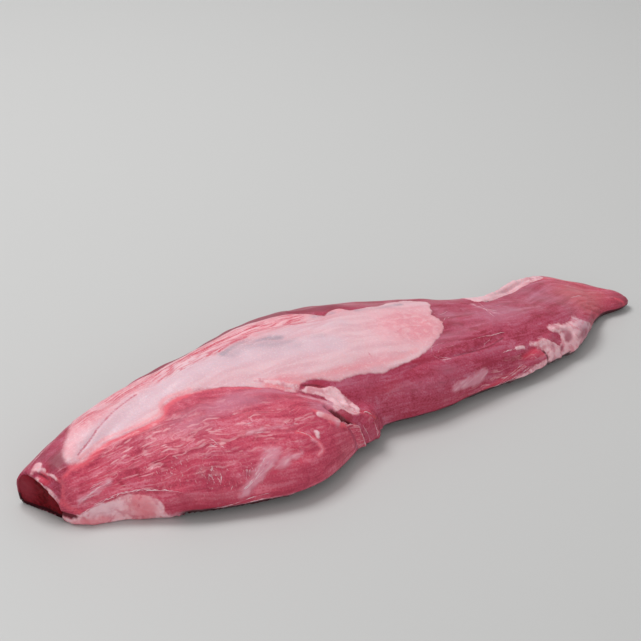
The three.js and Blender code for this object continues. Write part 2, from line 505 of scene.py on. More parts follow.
# Round the head and along the seam there is no cut edge: the sheet thins out over some millimetres.
SOFT_EDGE = [
    (-232, 37, 44), (-246, 18, 42), (-255, 4, 39), (-246, -4, 38), (-232, 0, 40), (-221, 1, 42),
    (-211, -3, 45), (-191, -4, 48), (-180, -3, 50), (-171, 7, 52), (-160, 10, 53), (-140, 7, 54),
]
THIN_EDGE = [(-140, 7, 54), (-120, -1, 54), (-100, -12, 50), (-84, -20, 47), (-72, -24, 45)]
slow_waves = 1.0 * rough(places, 9) + 0.5 * rough(places, 4, seed=1)
torn = 2.6 * rough(places, 3.2, seed=21) * step(places[:, 0], 50, 75)
looks_up = facing[:, 2] > -0.1
THINS_OVER = 8  # millimetres to each side of a soft edge
SOFTER = 2.2  # how much slower the sheet comes in at a soft edge

silverskin = np.where(looks_up, inside(above, SILVERSKIN), OUTSIDE) + slow_waves + torn
soft_edge = hump(SOFT_EDGE, THINS_OVER)
thin_edge = np.maximum(soft_edge, hump(THIN_EDGE, THINS_OVER))
fold = near(places, FOLD)
mark("silverskin", silverskin / (1 + SOFTER * soft_edge))
# The distance to the fold's crease, where a line of painted shade goes later.
mark("fold", fold)
print("silverskin covers", round(100 * float((silverskin > 0).mean()), 1), "% of the points")

# %% [markdown]
# ## Fat
# Fat lies in soft pale lumps in the seams and along the edges. The lumps at the foot and tail are
# drawn as outlines seen from the front, those on top as outlines seen from above, and thin
# strings of it as paths with a width.

# %% Draw the fat
FAT_FOOT = [
    (-262, 8), (-254, 13), (-248, 15), (-240, 17), (-233, 19), (-225, 20), (-216, 19), (-211, 15),
    (-209, 8), (-204, 2), (-200, -4), (-235, -5), (-262, -5),
]
TAIL_PAD = [
    (136, 27), (146, 26.5), (154, 25), (160, 21), (165, 17.5), (170, 19), (171, 23), (165, 26.5),
    (163, 28.5), (172, 28), (182, 26), (190, 24.5), (197, 24.5), (206, 21), (215, 13), (220, 5),
    (212, -6), (170, -6), (152, -4), (149, 5), (149, 13), (147, 18), (143, 22.5), (139, 25),
]
WEDGE = [
    (-69, -26), (-66, -24), (-62, -25), (-59, -28), (-54, -30), (-48, -31), (-44, -34), (-42, -39),
    (-39, -43), (-37, -48), (-39, -55), (-45, -59), (-51, -58), (-54, -54), (-60, -55), (-61, -51),
    (-57, -47), (-57, -41), (-58, -36), (-62, -32), (-67, -29),
]
CORNER_FAT = [
    (-277.5, 13), (-275, 17), (-271, 17.5), (-269, 14), (-270, 10), (-269, 6), (-271, 5), (-273, 9),
]
TAIL_ROLL = [
    (134, 16), (148, 16), (162, 19.5), (180, 26), (192, 29), (206, 33), (218, 36), (230, 39),
    (229, 54), (210, 63), (180, 60), (150, 48), (132, 34),
]
FAT_STRINGS = [
    # path, half width
    ([(-84, -21, 46), (-77, -23, 46), (-69, -27, 44)], 1.0),
    ([(-78, -57, 41.5), (-72, -60, 39), (-66, -63.5, 36)], 2.6),
    ([(-276, 8, 27.5), (-275, 3, 25.5), (-273, -2, 23), (-271, -6, 20), (-269, -10, 16)], 1.1),
    ([(-271, 5, 32), (-268, -1, 32), (-267, -6, 31)], 0.8),
    ([(-270, -8, 0), (-268, -14, 1), (-264, -22, 2), (-256, -27, 3), (-246, -30, 4)], 3.0),
    ([(-89, -69, 37), (-90, -72, 35)], 1.7),
    ([(121, -50, 28), (128, -50, 27)], 1.3),
    ([(116, -60, 7), (130, -59, 9), (144, -57.5, 11)], 3.2),
    ([(94, -60, 3), (106, -60, 5), (118, -60, 7.5)], 1.9),
    ([(60, -61, 1), (78, -61, 1.5), (96, -60, 3)], 0.9),
    ([(-98, -4, 53), (-84, -14, 49), (-74, -21, 46)], 2.0),
]
# An outline seen from the front would also print on the far side, and one from above on the foot.
seen_front = (facing[:, 1] < 0.3) & (places[:, 1] < -5)
seen_rear = seen_front & (places[:, 1] < -25)
WEDGE_FROM, CORNER_FROM, ROLL_FROM = 28, 26, 9  # millimetres above the counter

fat = np.maximum.reduce([
    np.where(seen_front, inside(front, FAT_FOOT), OUTSIDE),
    np.where(seen_rear, inside(front, TAIL_PAD), OUTSIDE),
    np.where(places[:, 2] > WEDGE_FROM, inside(above, WEDGE), OUTSIDE),
    np.where(places[:, 2] > CORNER_FROM, inside(above, CORNER_FAT), OUTSIDE),
    np.minimum(inside(above, TAIL_ROLL), places[:, 2] - ROLL_FROM),
    along_paths(FAT_STRINGS),
]) + 0.7 * slow_waves + 0.6 * rough(places, 3.6, seed=9)
mark("fat", fat)
print("fat covers", round(100 * float((fat > 0).mean()), 1), "% of the points")

# %% [markdown]
# ## Film
# Film is what is left of the thin membrane between muscles: a pale veil that lets the red show
# through. It is drawn in the same way, and the material later gives it streaks.

# %% Draw the film
FILM_SIDE = [
    (-163, 15), (-157, 21), (-151, 26), (-145, 30), (-138, 34), (-130, 38), (-121, 37), (-124, 34),
    (-128, 31), (-135, 28), (-141, 25), (-147, 21), (-153, 17), (-160, 13),
]
FILM_LUMPS = [
    (-129, 31), (-123, 34.5), (-117, 33.5), (-111, 33.5), (-107, 32), (-113, 30), (-120, 29.5),
    (-126, 28), (-132, 28), (-134, 30),
]
FILM_REAR = [
    (46, 20), (54, 24), (64, 25), (76, 26), (86, 24), (82, 19), (73, 16), (62, 17), (53, 18),
]
FILM_STRINGS = [
    # path, half width
    ([(-94, -74, 35), (-92, -77, 33), (-92, -81, 29), (-97, -83, 28)], 1.2),
    ([(-76, -56, 42), (-71, -60, 39), (-68, -66, 35)], 3.0),
    ([(128, 14, 39), (129, -1, 39), (136, -15, 38)], 0.8),
    ([(-259, -22, 19), (-251, -23, 22), (-244, -24, 24), (-236, -24, 27)], 2.0),
    ([(-277, 20, 31), (-271, 23, 34), (-262, 25, 38), (-251, 26, 42)], 0.6),
    ([(-205, -57, 3), (-196, -63, 4), (-180, -71, 4), (-160, -79, 5), (-142, -85, 6), (-124, -90, 6)], 3.6),
    ([(-136, -50, 45), (-124, -53, 44), (-112, -56, 43)], 1.4),
    ([(-74, -32, 45), (-64, -40, 43), (-59, -50, 38)], 4.5),
]
film = np.maximum.reduce([
    np.where(seen_front, inside(front, FILM_SIDE), OUTSIDE),
    np.where(seen_front, inside(front, FILM_LUMPS), OUTSIDE),
    np.where(seen_rear, inside(front, FILM_REAR), OUTSIDE),
    along_paths(FILM_STRINGS),
]) + 0.6 * slow_waves + 1.6 * rough(places, 5, seed=22)
mark("veiled", step(film, -2.2, 3.4))
print("film covers", round(100 * float((film > 0).mean()), 1), "% of the points")

# %% [markdown]
# ## Lips and slits
# Where the side muscle meets the silverskin its edge is a bright coral lip. Where two muscles part, and
# along a few creases, the shade in the slit is painted dark. Both are paths with a width.

# %% Draw the lips and slits
ROLL_SEAM = [(142, 14, 37), (160, 19, 32), (172, 23, 28), (192, 30, 24), (215, 34, 22)]
CUT_FOOT = [(-270, -11, 6), (-265, -19, 6.5), (-259, -27, 6)]
CORAL_LIPS = [
    # path, half width
    ([(-254, -5, 36), (-243, -5, 37), (-232, -2, 40), (-221, -1, 42), (-211, -5, 44), (-201, -7, 46),
      (-191, -6, 48), (-181, -5, 49), (-172, 4, 51), (-162, 8, 52), (-150, 8, 53)], 2.8),
    ([(-150, 8, 53), (-135, 4, 54), (-120, -3, 53), (-100, -13, 50)], 0.8),
    ([(-252, -5, 37), (-258, -7, 35), (-264, -8, 31)], 1.0),
    ([(-267, -5, 32), (-265, -10, 28), (-266, -12, 21), (-265, -15, 14)], 0.6),
    ([(-260, -24, 11), (-264, -17, 13), (-267, -11, 16)], 1.4),
    ([(-45, -56, 31), (-38, -57, 30), (-32, -60, 28), (-28, -62, 22)], 1.4),
    ([(-72, -63, 37), (-66, -67, 34), (-61, -67, 32)], 1.8),
    ([(-61, -63, 34), (-57, -66, 30), (-52, -66, 27)], 1.2),
    ([(-80, -53, 43.5), (-75, -56, 42)], 1.4),
    ([(-103, -64, 40), (-96, -69, 37), (-92, -76, 33), (-92, -81, 29), (-97, -83, 28)], 1.0),
    ([(214, 38, 23), (226, 39, 21), (240, 34, 19), (258, 14, 17)], 1.6),
    ([(266, -14, 12), (271, -18, 9), (273, -22, 6)], 0.8),
]
# the dark along these slits and creases is painted shade
PAINTED_SLIT_SHADES = [
    ([(-64, -53, 40), (-61, -59, 37), (-58, -64, 33), (-54, -66, 29)], 1.6),
    (CUT_FOOT, 1.8), (ROLL_SEAM, 0.9),
    ([(22, -42, 42), (39, -41, 42), (58, -43, 39), (78, -43, 37), (98, -43, 35), (116, -39, 35)], 0.4),
    ([(-49, -53, 33), (-43, -55, 32), (-36, -59, 28), (-29, -63, 21), (-23, -62, 10)], 0.5),
    ([(-68, -22, 46), (-60, -25, 45), (-53, -29, 42)], 0.6),
    ([(146, -55, 21), (148.5, -58, 14), (149, -59, 6), (148, -58, 2)], 1.5),
    ([(-274, 12, 31), (-272, 5, 30), (-270, 0, 29)], 0.5),
]
for name, paths in (("coral", CORAL_LIPS), ("slit", PAINTED_SLIT_SHADES)):
    mark(name, along_paths(paths))
print("lips:", len(CORAL_LIPS), "slits:", len(PAINTED_SLIT_SHADES))

# %% [markdown]
# ## The cut head
# One knife cut went across the head. The cut face shows the fibres end on and is darker. It is
# found as what lies on the knife's plane, below the rim of fat.

# %% Find the cut face
CUT_CORNER = np.array([-264.4, -22.7, 0.0])
CUT_LOOKS = np.array(Vector((0.93, 0.36, 0.06)).normalized())
FACES_CUT, NEAR_CUT = -0.4, 3  # how squarely the face looks out, and millimetres from the plane
BESIDE_CUT = -9  # millimetres inside, for all that lies off the cut face
CUT_OUTLINE = [  # across and up, looking along the piece
    (-9, -6), (-11, 5), (-10, 13), (-6, 18), (-1, 22), (5, 26), (12, 27), (20, 28), (34, 32),
    (60, 30), (70, -6),
]

from_cut = (places - CUT_CORNER) @ CUT_LOOKS
on_cut = (facing @ CUT_LOOKS < FACES_CUT) & (from_cut < NEAR_CUT)
cut = np.where(on_cut, inside(places[:, 1:], CUT_OUTLINE), BESIDE_CUT)
cut = np.maximum(cut, BESIDE_CUT) + 0.4 * slow_waves
mark("cut", cut)
print("cut face:", int((cut > 0).sum()), "points")

# %% [markdown]
# The flesh curls under along the foot, and the shade under it is painted dark on the surface there. The fat
# in front at the head's foot lies flat and is left unpainted.

# %% Paint the shade under the foot
FOOT_SHADE_HEIGHT = (6, 11)  # the dark fades out between these millimetres above the counter
CURLS_UNDER = (0.05, -0.35)  # how much the surface faces up where the dark begins and is full
FAR_SIDE = (6, 14)  # millimetres across, past the fat

past_fat = step(places[:, 0], FAT_FOOT_ENDS, FAT_FOOT_ENDS + EASED_OVER)
foot_shade_reach = np.maximum.reduce([past_fat, step(cut, -2, 0), step(places[:, 1], *FAR_SIDE)])
# Painted shade: dark where the surface faces down, close to the counter.
mark("sole", foot_shade_reach * (1 - step(places[:, 2], *FOOT_SHADE_HEIGHT)) * step(facing[:, 2], *CURLS_UNDER))
print("foot:", round(100 * float((facing[:, 2] < 0).mean())), "% of the points curl under")

# %% [markdown]
# ## Tones
# Meat isn't one red. The rear is purplish, the far shoulder brown where it dried, some parts are fresh and
# bright, and the silverskin is pinker over fat and bluish where it is thin. The deep tone is a darker red
# that also serves as painted shade in folds, creases and on low sides near the counter. The haze, and the
# lilac on the silverskin, are partly a painted sheen of the wet surface. Each tone is laid as a few soft
# spots, or as soft strokes along a path.

# %% Place the tones
SPOTS = {
    # name: [(middle, reach along x, y and z, strength)]
    "dusk": [
        ((-260, 6, 38), (9, 9, 9), 1.0), ((-254, 40, 34), (20, 16, 16), 0.8),
        ((-90, 84, 44), (70, 14, 22), 0.8), ((-15, 72, 50), (40, 10, 20), 0.8),
        ((90, 30, 42), (20, 24, 14), 0.3), ((60, 66, 30), (60, 20, 20), 0.4),
        ((272, -16, 8), (14, 14, 12), 0.7), ((-264, 20, 36), (9, 10, 8), 0.6),
    ],
    # darker red, and painted shade in folds, slits and on low sides near the counter
    "deep": [
        ((-178, -66, 6), (44, 16, 13), 1.0), ((-120, -84, 14), (30, 12, 16), 0.4),
        ((40, -58, 10), (80, 12, 14), 0.6), ((-36, -64, 8), (14, 14, 12), 0.4),
        ((10, -46, 34), (50, 9, 8), 0.5), ((-60, -26, 45), (11, 4, 4), 1.0),
        ((-58, -61, 34), (5, 6, 7), 0.9), ((33, -40, 41), (14, 5, 4), 0.8),
        ((-60, 84, 24), (160, 30, 20), 0.4),
    ],
    "fresh": [
        ((-271, 4, 28), (7, 9, 5), 1.0), ((236, -8, 18), (22, 16, 12), 0.35),
        ((-240, -16, 28), (26, 12, 12), 0.5), ((-190, -52, 30), (24, 14, 14), 0.5),
        ((-120, -76, 26), (28, 12, 12), 0.6), ((150, 40, 30), (30, 10, 10), 0.6),
        ((-36, -62, 26), (10, 8, 8), 0.6), ((-130, -84, 14), (34, 10, 12), 0.5),
    ],
    "tan": [((234, -4, 18), (34, 26, 14), 1.0), ((-10, -52, 36), (26, 12, 10), 0.4)],
    # a pale lilac veil, partly a painted sheen of the wet surface
    "haze": [
        ((60, -20, 44), (40, 14, 12), 0.8), ((140, -6, 38), (50, 24, 14), 0.7),
        ((-110, -18, 51), (60, 15, 8), 1.0), ((40, -52, 30), (40, 8, 9), 0.6),
        ((-160, -20, 50), (40, 14, 8), 0.7), ((200, 10, 28), (40, 30, 12), 0.6),
        ((-30, -40, 42), (30, 10, 8), 0.4), ((-70, -50, 42), (14, 12, 8), 0.8),
        ((-20, 80, 34), (120, 16, 18), 0.5), ((94, 6, 44), (14, 18, 10), 0.8),
    ],
    "streaky": [((-200, 42, 46), (30, 14, 12), 0.6), ((-20, 36, 60), (24, 14, 10), 0.3)],
    "blush": [
        ((-225, 26, 46), (34, 14, 14), 0.9), ((-180, 44, 48), (34, 14, 14), 0.9),
        ((-60, 52, 59), (80, 12, 14), 1.0), ((-244, 9, 42), (12, 8, 8), 1.0),
        ((-84, -14, 50), (24, 8, 8), 0.8), ((-20, -26, 48), (60, 9, 10), 0.5),
        ((54, 0, 48), (40, 30, 20), 1.0), ((10, 44, 56), (30, 10, 10), 0.6),
        ((-212, 0, 44), (44, 7, 10), 0.5),
    ],
    "bluish": [((-8, 52, 57), (9, 4, 5), 0.6)],
    "marbled": [
        ((-205, -22, 38), (44, 26, 22), 1.0), ((-155, -40, 42), (48, 26, 18), 0.9),
        ((-110, -54, 40), (36, 22, 16), 0.7), ((-244, -12, 30), (20, 14, 14), 0.4),
        ((106, -58, 14), (44, 8, 9), 0.8), ((-36, -62, 24), (10, 8, 10), 0.4),
        ((-90, 80, 20), (60, 16, 14), 0.5), ((60, 70, 18), (60, 16, 12), 0.4),
    ],
    "rumpled": [
        ((-172, -62, 28), (14, 12, 11), 1.0), ((-150, -72, 28), (8, 9, 11), 1.0),
        ((-197, -44, 33), (18, 12, 10), 0.8), ((-212, -36, 30), (10, 8, 8), 0.5),
    ],
    "wrinkled": [((236, -16, 17), (20, 15, 10), 1.0), ((254, 0, 16), (16, 12, 8), 0.8)],
    "salmon": [
        ((-220, -42, 11), (12, 12, 12), 1.0), ((-250, -28, 3), (26, 10, 4), 0.8),
        ((176, -46, 8), (26, 14, 8), 0.4), ((-72, -60, 38), (10, 7, 6), 1.0),
        ((-273, 14, 31), (7, 6, 5), 0.6),
    ],
    "mauve": [
        ((-246, -26, 13), (14, 12, 6), 0.8), ((201, -40, 15), (14, 14, 12), 1.0),
        ((160, -50, 10), (14, 12, 12), 0.5), ((183, 34, 26), (50, 16, 14), 0.2),
    ],
    "island": [
        ((178, -48, 19), (6, 9, 4.6), 1.0), ((197, -47, 15), (9, 9, 6), 1.0),
        ((212, -40, 8), (8, 12, 8), 1.0), ((167, -54, 15), (3.4, 6, 2.6), 1.0),
        ((157, -54, 18), (4, 6, 3), 0.5), ((158, -57, 10), (3, 6, 4), 0.5),
        ((190, -51, 7), (5, 8, 3), 0.5), ((208, -42, 19), (5, 8, 3), 0.6),
    ],
    "milky": [
        ((-248, -30, 14), (12, 9, 5), 1.0), ((-89, -71, 35.5), (5, 5, 5), 1.0),
        ((-272, 14, 32), (6, 8, 6), 0.3), ((125, -49, 27), (7, 5, 5), 0.8),
        ((-52, -42, 37), (12, 16, 12), 0.7), ((183, -46, 22), (5, 8, 8), 0.7),
    ],
    "rosy": [((-281, 22, 16), (9, 14, 14), 1.0)],
}
STROKES = {
    # name: [(path, half width, strength)]
    # painted shade in the creases of the wrinkles
    "deep": [
        ([(-204, -34, 36), (-200, -40, 34), (-194, -45, 33)], 1.3, 1.0),
        ([(-217, -31, 31), (-217, -35, 29)], 1.4, 1.0), ([(-230, -28, 27), (-228, -31, 24)], 1.4, 1.0),
        ([(213, -32, 23), (221, -33, 19), (232, -28, 12)], 1.6, 1.0),
        ([(225, -20, 19), (234, -22, 14), (244, -20, 8)], 1.6, 1.0),
        ([(233, -15, 18), (241, -16, 14), (248, -18, 10)], 1.4, 0.8),
    ],
    "dusk": [
        ([(-156, 60, 47), (-130, 64, 50), (-103, 68, 50), (-77, 72, 52), (-50, 72, 53), (-24, 66, 54),
          (-8, 56, 57), (4, 52, 56), (16, 54, 54)], 8, 1.0),
    ],
    "fresh": [
        ([(80, -61, 8), (97, -60, 11), (113, -60, 13), (130, -57, 17), (143, -56, 19)], 4, 0.7),
        ([(126, -55, 21), (136, -54, 22), (144, -57, 16)], 5, 1.0),
        ([(24, 54, 53), (47, 56, 48), (66, 50, 45)], 6, 0.7),
        ([(-212, 54, 42), (-180, 60, 44), (-150, 60, 47)], 4, 0.7),
    ],
    "milky": [
        ([(134, 22, 36), (155, 26, 32), (170, 33, 27), (184, 39, 24), (204, 45, 21)], 10, 1.0),
    ],
    "streaky": [
        ([(-150, 46, 53), (-115, 48, 58), (-85, 53, 59), (-59, 52, 60), (-28, 48, 59)], 10, 1.0),
        ([(-228, 32, 45), (-205, 40, 47), (-180, 44, 49), (-150, 46, 53)], 9, 0.9),
        ([(-157, 37, 53), (-140, 36, 57), (-121, 38, 58), (-102, 40, 59)], 4, 0.8),
    ],
    # a lilac band along the silverskin's top, partly its colour and partly a painted sheen
    "lilac": [
        ([(-236, 2, 42), (-204, 14, 47), (-184, 20, 49), (-160, 24, 54), (-136, 26, 57), (-114, 25, 59),
          (-94, 22, 59), (-72, 15, 60), (-50, 8, 59), (-24, 0, 58)], 12, 1.0),
        ([(-60, 30, 61), (-30, 28, 60), (0, 22, 59)], 8, 0.6),
    ],
    "bluish": [
        ([(-103, 33, 59), (-93, 36, 60), (-81, 36, 61), (-69, 32, 61), (-56, 25, 61)], 4.4, 1.0),
        ([(-98, 29, 60), (-86, 30, 61), (-72, 24, 61), (-52, 14, 60)], 9, 0.6),
        ([(-62, 28, 61), (-43, 17, 60), (-26, 12, 59)], 5, 0.4),
        ([(24, 36, 54), (42, 34, 53), (54, 33, 51), (68, 34, 48)], 3, 0.9),
        ([(-14, 41, 58), (-4, 41, 58), (4, 40, 58)], 3, 0.7),
        ([(-98, 40, 58), (-80, 42, 60)], 3, 0.4),
    ],
    "seam_pink": [
        ([(-246, -1, 38), (-221, 4, 43), (-201, -1, 48), (-180, 0, 50), (-168, 13, 52), (-146, 11, 54)],
         2.6, 0.7),
        ([(-90, -13, 49), (-78, -20, 47), (-72, -22, 46)], 6, 1.0),
        ([(-66, -17, 48), (-46, -22, 49), (-20, -27, 49), (8, -32, 47), (34, -30, 46)], 4, 0.5),
    ],
    "redden": [
        ([(-40, 42, 59), (-33, 38, 60), (-25, 36, 60)], 1.4, 1.0),
        ([(-157, 50, 50), (-144, 50, 52), (-131, 51, 55)], 1.1, 0.9),
        ([(-148, 42, 54), (-132, 43, 56), (-118, 42, 58)], 0.9, 0.9),
        ([(-116, 51, 56), (-100, 50, 58), (-84, 53, 58)], 1.1, 0.8),
        ([(-75, 45, 61), (-60, 44, 61), (-48, 42, 60)], 1.2, 0.9),
        ([(-160, 35, 53), (-145, 37, 56), (-128, 37, 58), (-108, 39, 59)], 1.0, 0.8),
        ([(-104, 38, 59), (-95, 40.5, 60), (-84, 42.5, 60), (-76, 42, 61)], 1.6, 0.8),
        ([(-218, 20, 47), (-206, 28, 48), (-192, 35, 49)], 1.0, 0.5),
        ([(-4, -18, 52), (-5, -23, 50)], 0.7, 0.7), ([(-186, 12, 50), (-172, 16, 52)], 0.6, 0.4),
        ([(30, -8, 52), (44, -4, 51), (58, -8, 49)], 1.4, 0.5), ([(20, 12, 56), (34, 8, 54)], 1.2, 0.4),
    ],
}
# Some tones lie in broken patches along the fibres: how much of them, and the patches' size.
PATCHY = {"haze": (30, 8, 8), "marbled": (16, 5, 5), "fresh": (28, 8, 8), "bluish": (26, 5, 5)}

# A noise shifts the spots by up to a few millimetres, so that none is round.
ragged = places + 3.0 * drift(places, 8)
tones = {name: np.zeros(len(places)) for name in {**SPOTS, **STROKES}}
for name, spots in SPOTS.items():
    for middle, reach, strength in spots:
        away = (((ragged - middle) / np.array(reach, float)) ** 2).sum(axis=1)
        tones[name] = np.maximum(tones[name], strength * np.exp(-away))
for name, strokes in STROKES.items():
    for path, half, strength in strokes:
        tones[name] = np.maximum(tones[name], strength * hump(path, half))
for name, size in PATCHY.items():
    tones[name] *= 0.4 + 0.6 * step(rough(fibre, size, seed=20), -0.4, 0.3)
wrinkled = tones.pop("wrinkled")  # it shows in the relief alone
for name, values in tones.items():
    mark(name, values)
print("tones:", {name: round(float(values.mean()), 3) for name, values in tones.items()})

# %% [markdown]
# ## Relief
# The surface is moved in and out by parts of a millimetre: bundles of fibres, folds in the
# silverskin, the step at its edge, lumps of fat, and creases along paths. A sculptor would use a
# brush. Here each point moves along its own normal by the sum of what passes through it.

# %% Add up the relief
CREASES = [
    # path, depth, half width
    (FOLD, 0.55, 1.2),
    ([(21, -43, 42), (35, -42, 42), (57, -43, 39), (81, -43, 37), (102, -40, 36), (118, -37, 36)], 1.3, 2.2),
    ([(-66, -50, 41), (-63, -57, 38), (-60, -63, 34), (-55, -66, 29)], 4.4, 2.0),
    ([(-50, -51, 34), (-43, -54, 32), (-36, -58, 29), (-28, -61, 21), (-21, -61, 10), (-19, -60, 2)],
     2.6, 1.6),
    (ROLL_SEAM, 1.8, 1.5),
    ([(-60, 47, 60), (-40, 44, 59), (-20, 40, 59), (0, 37, 58)], 0.8, 2.6),
    ([(-104, 38, 59), (-80, 37, 61), (-60, 31, 61)], 0.8, 2.0),
    (CUT_FOOT, 2.4, 1.8),
    ([(-22, 62, 55), (-14, 52, 57), (-8, 43, 58)], 1.4, 2.2),
    ([(213, -32, 23), (221, -33, 19), (232, -28, 12)], 0.9, 1.6),
    ([(225, -20, 19), (234, -22, 14), (244, -20, 8)], 0.8, 1.6),
    ([(233, -15, 18), (241, -16, 14), (248, -18, 10)], 0.7, 1.6),
    ([(244, 2, 19), (253, 4, 16), (262, 2, 15)], 0.7, 1.6),
    ([(148, -53, 24), (150, -57, 16), (150, -58, 6)], 1.8, 1.5),
    ([(-204, -34, 36), (-200, -40, 34), (-194, -45, 33)], 0.6, 1.4),
    ([(-217, -31, 32), (-217, -34, 29)], 0.6, 1.4), ([(-230, -28, 27), (-228, -31, 24)], 0.5, 1.4),
]
LIPS = [
    # path, height, half width
    ([(-279, 16, 28), (-275, 5, 27), (-271, -4, 24), (-268, -12, 14)], 0.8, 1.4),
    ([(-80, -53, 43), (-74, -59, 40), (-69, -65, 36), (-63, -68, 33)], 1.0, 2.2),
    ([(-232, -3, 40), (-211, -6, 45), (-191, -7, 48), (-180, -6, 49), (-170, 4, 51)], 0.4, 2.4),
    ([(-45, -58, 30), (-37, -60, 28), (-31, -64, 20), (-29, -65, 8)], 1.6, 2.8),
    ([(-260, -25, 10), (-248, -29, 16), (-233, -33, 20), (-212, -47, 23), (-196, -59, 21)], 0.6, 1.4),
]

skin_share = step(silverskin, -0.6, 1.0)
fat_share = step(fat, -0.8, 1.2)
film_share = step(film, -0.6, 1.4)
bare = (1 - skin_share) * (1 - fat_share)

fat_lumps = fat_share * (1 - 0.7 * tones["milky"])
ROUGHNESSES = [
    # where it shows, height, what it follows, size in millimetres, seed
    (bare, 0.4, fibre, (56, 10, 10), 2),
    (bare, 0.15, fibre, (24, 4, 4), 3),
    (bare * tones["marbled"], 0.3, fibre, (20, 3.4, 3.4), 10),
    (bare * tones["rumpled"], 1.6, places, (3.4, 8, 11), 14),
    (bare * wrinkled, 1.4, fibre, (20, 3.6, 3.6), 16),
    (skin_share, 0.12, fibre, (60, 9, 9), 4),
    (skin_share * tones["streaky"], 0.45, fibre, (30, 3, 3), 8),
    (skin_share * tones["blush"], 0.3, places, 6, 15),
    (fat_lumps, 0.5, places, 8, 5),
    (fat_lumps, 0.3, places, 3.2, 6),
    (1, 0.8, places, 16, 7),
]
FILM_THICK, SKIN_THICK, FAT_THICK = 0.35, 0.7, 0.5  # millimetres that each stands above the muscle
# Millimetres that a thin edge of the sheet, a hollow in the tail's fat and the cut face lie lower.
THINNED, ISLAND_DEEP, CUT_DEEP = 0.65, 0.9, 2.2

relief = bare * FILM_THICK * film_share + skin_share * (SKIN_THICK - THINNED * thin_edge)
relief += fat_share * (FAT_THICK - ISLAND_DEEP * tones["island"]) - CUT_DEEP * step(cut, -0.6, 1.0)
for share, height, follows, size, seed in ROUGHNESSES:
    relief += share * height * rough(follows, size, seed)
for path, depth, half in CREASES:
    relief -= depth * hump(path, half)
for path, height, half in LIPS:
    relief += height * hump(path, half)
# What rests on the counter stays flat.
relief *= step(places[:, 2], -0.2, 1.6) * step(facing[:, 2], -0.98, -0.7)

moved = places + facing * relief[:, None]
moved[:, 2] = np.maximum(moved[:, 2], 0)
flesh.data.vertices.foreach_set("co", (moved * MM).ravel())
flesh.data.update()
print("relief: from", round(float(relief.min()), 2), "to", round(float(relief.max()), 2), "mm")

# %% [markdown]
# ## Raw beef
# The stuff is raw beef: a wet, slightly see-through red, smooth to a finger and never mirror-like.
# One material holds all the finishes, because they pass into each other. It reads two kinds of
# values: the marks made above, and patterns whose sizes are those of the real thing. A fibre
# bundle that the eye sees is about 2 mm thick and 20 mm long, blotches are about 9 mm. The
# coordinates of the blotches are turned, because noise shows its square grid along its axes.

# %% Gather the marks and the coordinates
beef = new_material("raw_beef")

metres = add(beef, "ShaderNodeTexCoord").outputs["Object"]
place = add(beef, "ShaderNodeVectorMath", {"operation": "SCALE"}, _0=metres, Scale=1 / MM).outputs[0]
turned = add(beef, "ShaderNodeMapping", Vector=place, Rotation=(0.6, 0.5, 0.8)).outputs[0]
along_fibre = add(beef, "ShaderNodeAttribute", {"attribute_name": "fibre"}).outputs["Vector"]

# Film was pulled slantwise, up towards the rear, and its streaks run that way.
FILM_RISE = math.radians(25)
along_film = add(beef, "ShaderNodeMapping", Vector=place, Rotation=(0, FILM_RISE, 0)).outputs[0]

# Marbling wavers: a noise shifts it by a millimetre or two.
waver = add(beef, "ShaderNodeTexNoise", Vector=turned, Scale=1 / 11, Detail=1.0).outputs["Color"]
wavering = add(
    beef, "ShaderNodeVectorMath", {"operation": "MULTIPLY_ADD"}, _0=waver, _1=(9, 7, 7), _2=along_fibre
).outputs[0]

# The cut face and the brown parts have dried, so they shine less.
mark("dry", np.maximum(0.8 * step(cut, -0.4, 0.6), 0.7 * tones["dusk"]))
MARKS = ["side", "silverskin", "fold", "fat", "veiled", "coral", "slit", "cut", "sole", "dry", *tones]
seen = {
    name: add(beef, "ShaderNodeAttribute", {"attribute_name": name}).outputs["Fac"] for name in MARKS
}
print("marks:", len(MARKS))

# %% Make the patterns
CLOUDY = {
    # name: (follows, size in millimetres along and across, detail, distortion)
    "threads": (along_fibre, (18, 2.0, 2.0), 1, 0.4),
    "bundles": (along_fibre, (48, 6, 6), 2, 0.7),
    "sheets": (along_fibre, (60, 6, 6), 2, 0.4),
    "strands": (along_fibre, (28, 1.8, 1.8), 2, 0.8),
    "striae": (wavering, (28, 6, 6), 0, 0.0),
    "veil": (along_film, (26, 2.4, 2.4), 2, 0.3),
    "blotches": (turned, (9, 9, 9), 2, 0.9),
    "clouds": (turned, (34, 34, 34), 2, 0.6),
    "lumps": (turned, (6, 6, 6), 2, 0.4),
    "grit": (turned, (2.6, 2.6, 2.6), 2, 0.0),
    "specks": (turned, (1.3, 1.3, 1.3), 1, 0.0),
    # painted glints: pale specks that stand for highlights on wet spots
    "glints": (place, (1.2, 2.5, 5.0), 1, 0.3),
}
# Flecks lie one in each cell of a loose grid, and the value is the distance to the nearest.
FLECKED = {
    # name: (follows, size of the cell in millimetres)
    "dashes": (wavering, (20, 3.2, 3.2)),
    "flakes": (wavering, (34, 6, 6)),
}

for name, (follows, size, detail, distortion) in CLOUDY.items():
    scaled = add(beef, "ShaderNodeVectorMath", {"operation": "DIVIDE"}, _0=follows, _1=size).outputs[0]
    made = add(
        beef, "ShaderNodeTexNoise", Vector=scaled, Scale=1.0, Detail=float(detail), Distortion=distortion
    )
    seen[name] = made.outputs["Fac"]
for name, (follows, size) in FLECKED.items():
    scaled = add(beef, "ShaderNodeVectorMath", {"operation": "DIVIDE"}, _0=follows, _1=size).outputs[0]
    seen[name] = add(beef, "ShaderNodeTexVoronoi", Vector=scaled, Scale=1.0).outputs["Distance"]
print("patterns:", len(CLOUDY) + len(FLECKED))

# %% [markdown]
# Colour goes on as a painter would lay washes: each wash covers what is under it where a pattern
# or mark is strong. The edge of a wash can be broken up by the fine grit, and a wash can be kept
# within a mark. A wash may run backwards, over the low values, as along the crease of the fold.


